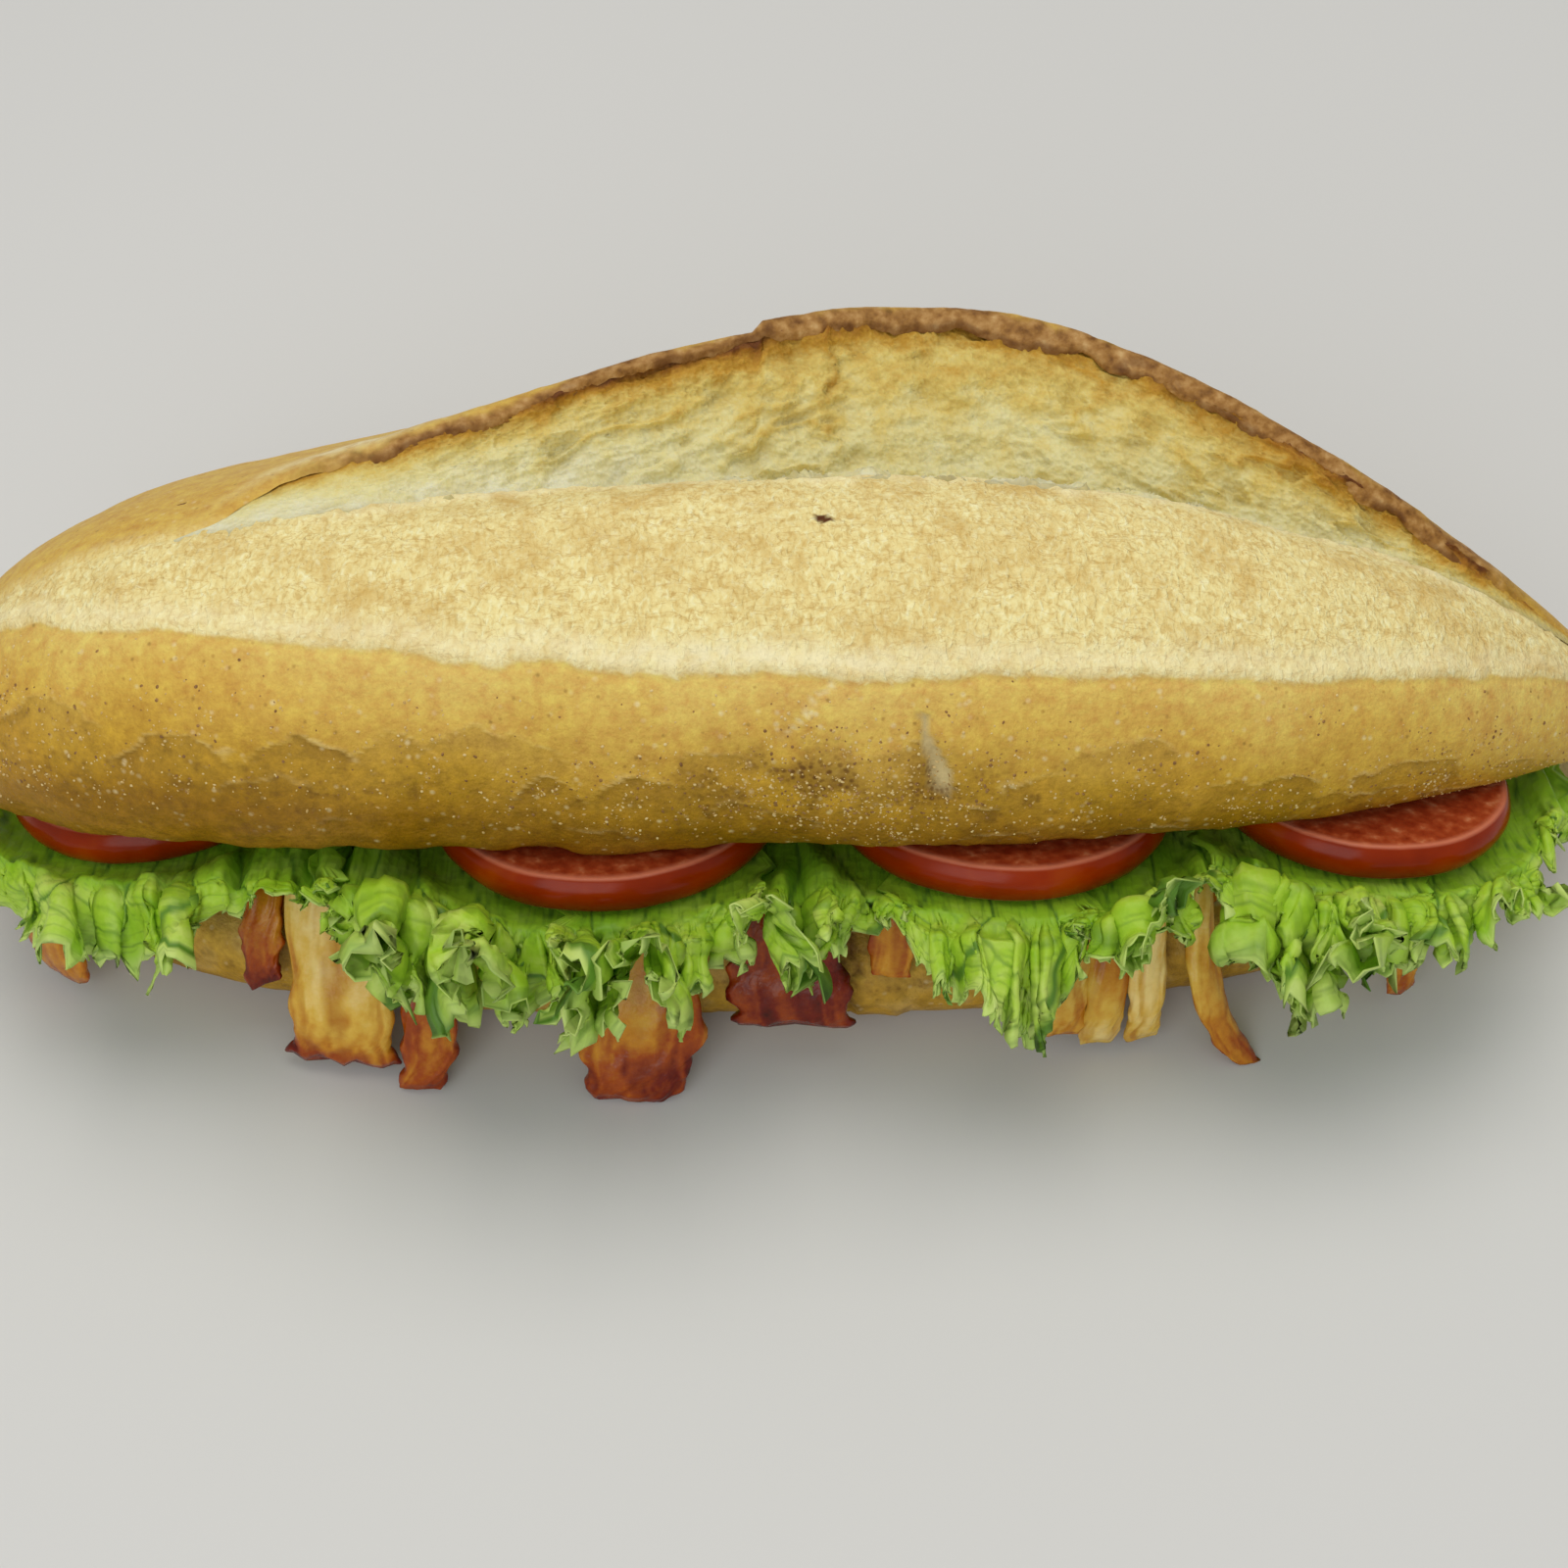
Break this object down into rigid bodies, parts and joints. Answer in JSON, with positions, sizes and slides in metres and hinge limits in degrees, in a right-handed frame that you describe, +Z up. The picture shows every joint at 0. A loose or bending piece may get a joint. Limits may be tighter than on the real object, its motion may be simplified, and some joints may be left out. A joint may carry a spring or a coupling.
{
  "type": "chicken doner sandwich",
  "caption": "Long split loaf with an opened crust ridge, its front stuffed with shaved roast chicken, curly green lettuce and tomato slices; rests on its flat base.",
  "frame": {"origin": "on the surface it rests on, under the middle of the whole sandwich", "axes": "+X along the loaf towards its pointed end, -Y out of its open front, +Z up"},
  "size_m": [0.3538, 0.1498, 0.1059],
  "materials": {
    "bread_crust": "thin matte baked crust, pale and floury on the crown, golden on the side, with an open torn crumb",
    "bread_base": "matte baked crust with bran and semolina grains",
    "tomato": "wet glossy red skin round moist flesh",
    "lettuce": "crisp leaf with a slight waxy gloss, veined, paler towards its margin",
    "chicken": "moist fibrous roast meat",
    "chicken_browned": "browned and charred roast meat with a greasy gloss"
  },
  "bodies": {
    "root": {"bread_bottom": "bread_base", "bread_top": "bread_crust", "tomato_slice_1": "tomato", "tomato_slice_2": "tomato", "tomato_slice_3": "tomato", "tomato_slice_4": "tomato", "chicken_bed": "chicken", "chicken_end_piece": "chicken_browned", "chicken_bit": "chicken_browned", "chicken_slab": "chicken", "chicken_red_lobe": "chicken_browned", "chicken_lobe": "chicken_browned", "chicken_dark_chunk": "chicken_browned", "chicken_small_piece": "chicken", "chicken_strip_1": "chicken", "chicken_strip_2": "chicken", "chicken_strip_3": "chicken", "chicken_strip_4": "chicken", "chicken_strip_5": "chicken_browned", "lettuce_leaf_1": "lettuce", "lettuce_leaf_2": "lettuce", "lettuce_leaf_3": "lettuce", "lettuce_leaf_4": "lettuce", "lettuce_leaf_5": "lettuce", "lettuce_leaf_6": "lettuce", "lettuce_leaf_7": "lettuce", "lettuce_leaf_8": "lettuce"}
  },
  "joints": []
}
